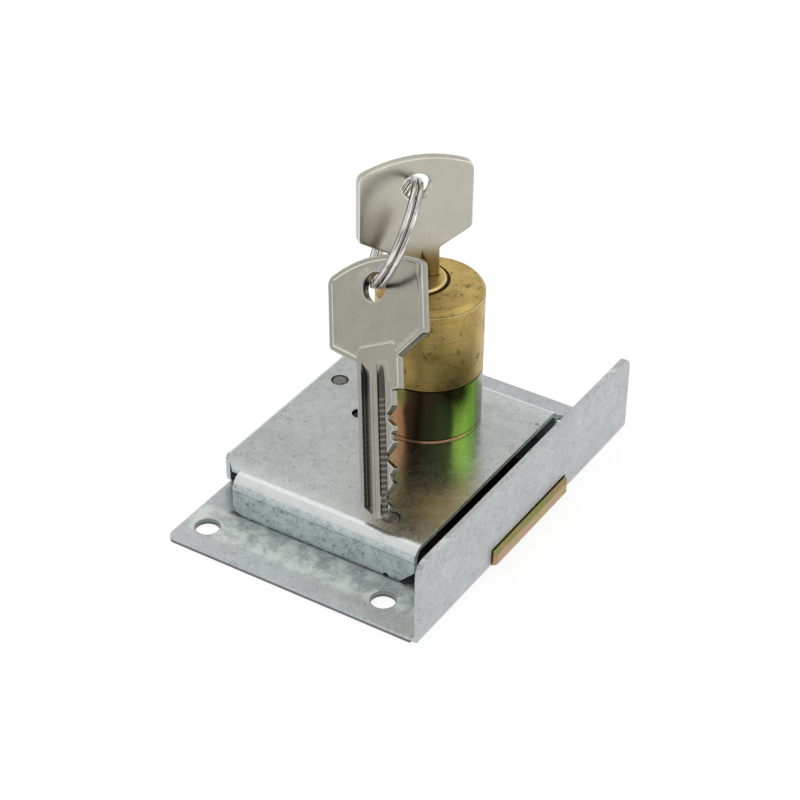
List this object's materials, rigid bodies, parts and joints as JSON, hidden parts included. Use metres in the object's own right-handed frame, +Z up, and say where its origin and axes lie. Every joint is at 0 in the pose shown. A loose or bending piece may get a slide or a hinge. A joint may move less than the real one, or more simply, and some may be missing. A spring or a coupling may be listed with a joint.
{
  "type": "cabinet lock",
  "caption": "Let-in cabinet lock: plate with selvedge, covered case with a sliding flat bolt, round pin cylinder, and two flat keys on a split ring.",
  "frame": {"origin": "middle of the four screw holes, on the underside of the base plate", "axes": "+X towards the selvedge and out of it along the bolt, +Y along the selvedge, +Z up the cylinder"},
  "size_m": [0.059, 0.082, 0.068],
  "materials": {
    "zinc_sheet": "zinc-plated sheet steel, fine mottle, satin",
    "rivet_steel": "plated steel, satin",
    "passivated_steel": "yellow-passivated steel, glossy, iridescent green and pink",
    "brass": "turned brass, satin, lightly tarnished",
    "nickel": "nickel-plated, satin",
    "ring_steel": "bright plated wire",
    "spring_steel": "bare spring steel"
  },
  "bodies": {
    "case": {"base_plate": "zinc_sheet", "case_cover": "zinc_sheet", "near_pillar": "rivet_steel", "far_pillar": "rivet_steel", "guide_stump": "rivet_steel", "bolt_spring": "spring_steel", "spring_rivet": "rivet_steel", "cylinder_body": "brass", "cylinder_collar": "passivated_steel", "cylinder_screws": "rivet_steel", "chamber_caps": "brass", "driver_pins": "brass", "pin_springs": "spring_steel"},
    "turning": {"plug": "brass", "key_pin_1": "brass", "key_pin_2": "brass", "key_pin_3": "brass", "key_pin_4": "brass", "key_pin_5": "brass", "drive_cam": "passivated_steel", "cam_screw": "rivet_steel", "lock_key": "nickel"},
    "bolt": {"bolt": "passivated_steel"},
    "ring": {"split_ring": "ring_steel"},
    "spare": {"spare_key": "nickel"}
  },
  "joints": [
    {"name": "bolt_slide", "type": "slide", "parent": "case", "child": "bolt", "axis": [1, 0, 0], "range_m": [-0.002, 0.0025]},
    {"name": "key_turn", "type": "hinge", "parent": "case", "child": "turning", "pos_m": [-0.0021, 0.0124, 0.03], "axis": [0, 0, 1], "range_deg": [-51, 41]},
    {"name": "ring_drag", "type": "hinge", "parent": "turning", "child": "ring", "pos_m": [-0.0021, 0.0124, 0.0619], "axis": [0, 0, 1], "range_deg": [-15.5, 19]},
    {"name": "spare_swing", "type": "hinge", "parent": "ring", "child": "spare", "pos_m": [-0.00413, 0.00041, 0.04424], "axis": [-0.6025, 0.5991, -0.5273], "range_deg": [0, 20]}
  ],
  "couplings": [
    {"joint": "key_turn", "follows": "bolt_slide", "rad_per_m": -349},
    {"joint": "ring_drag", "follows": "bolt_slide", "rad_per_m": 125.6}
  ]
}
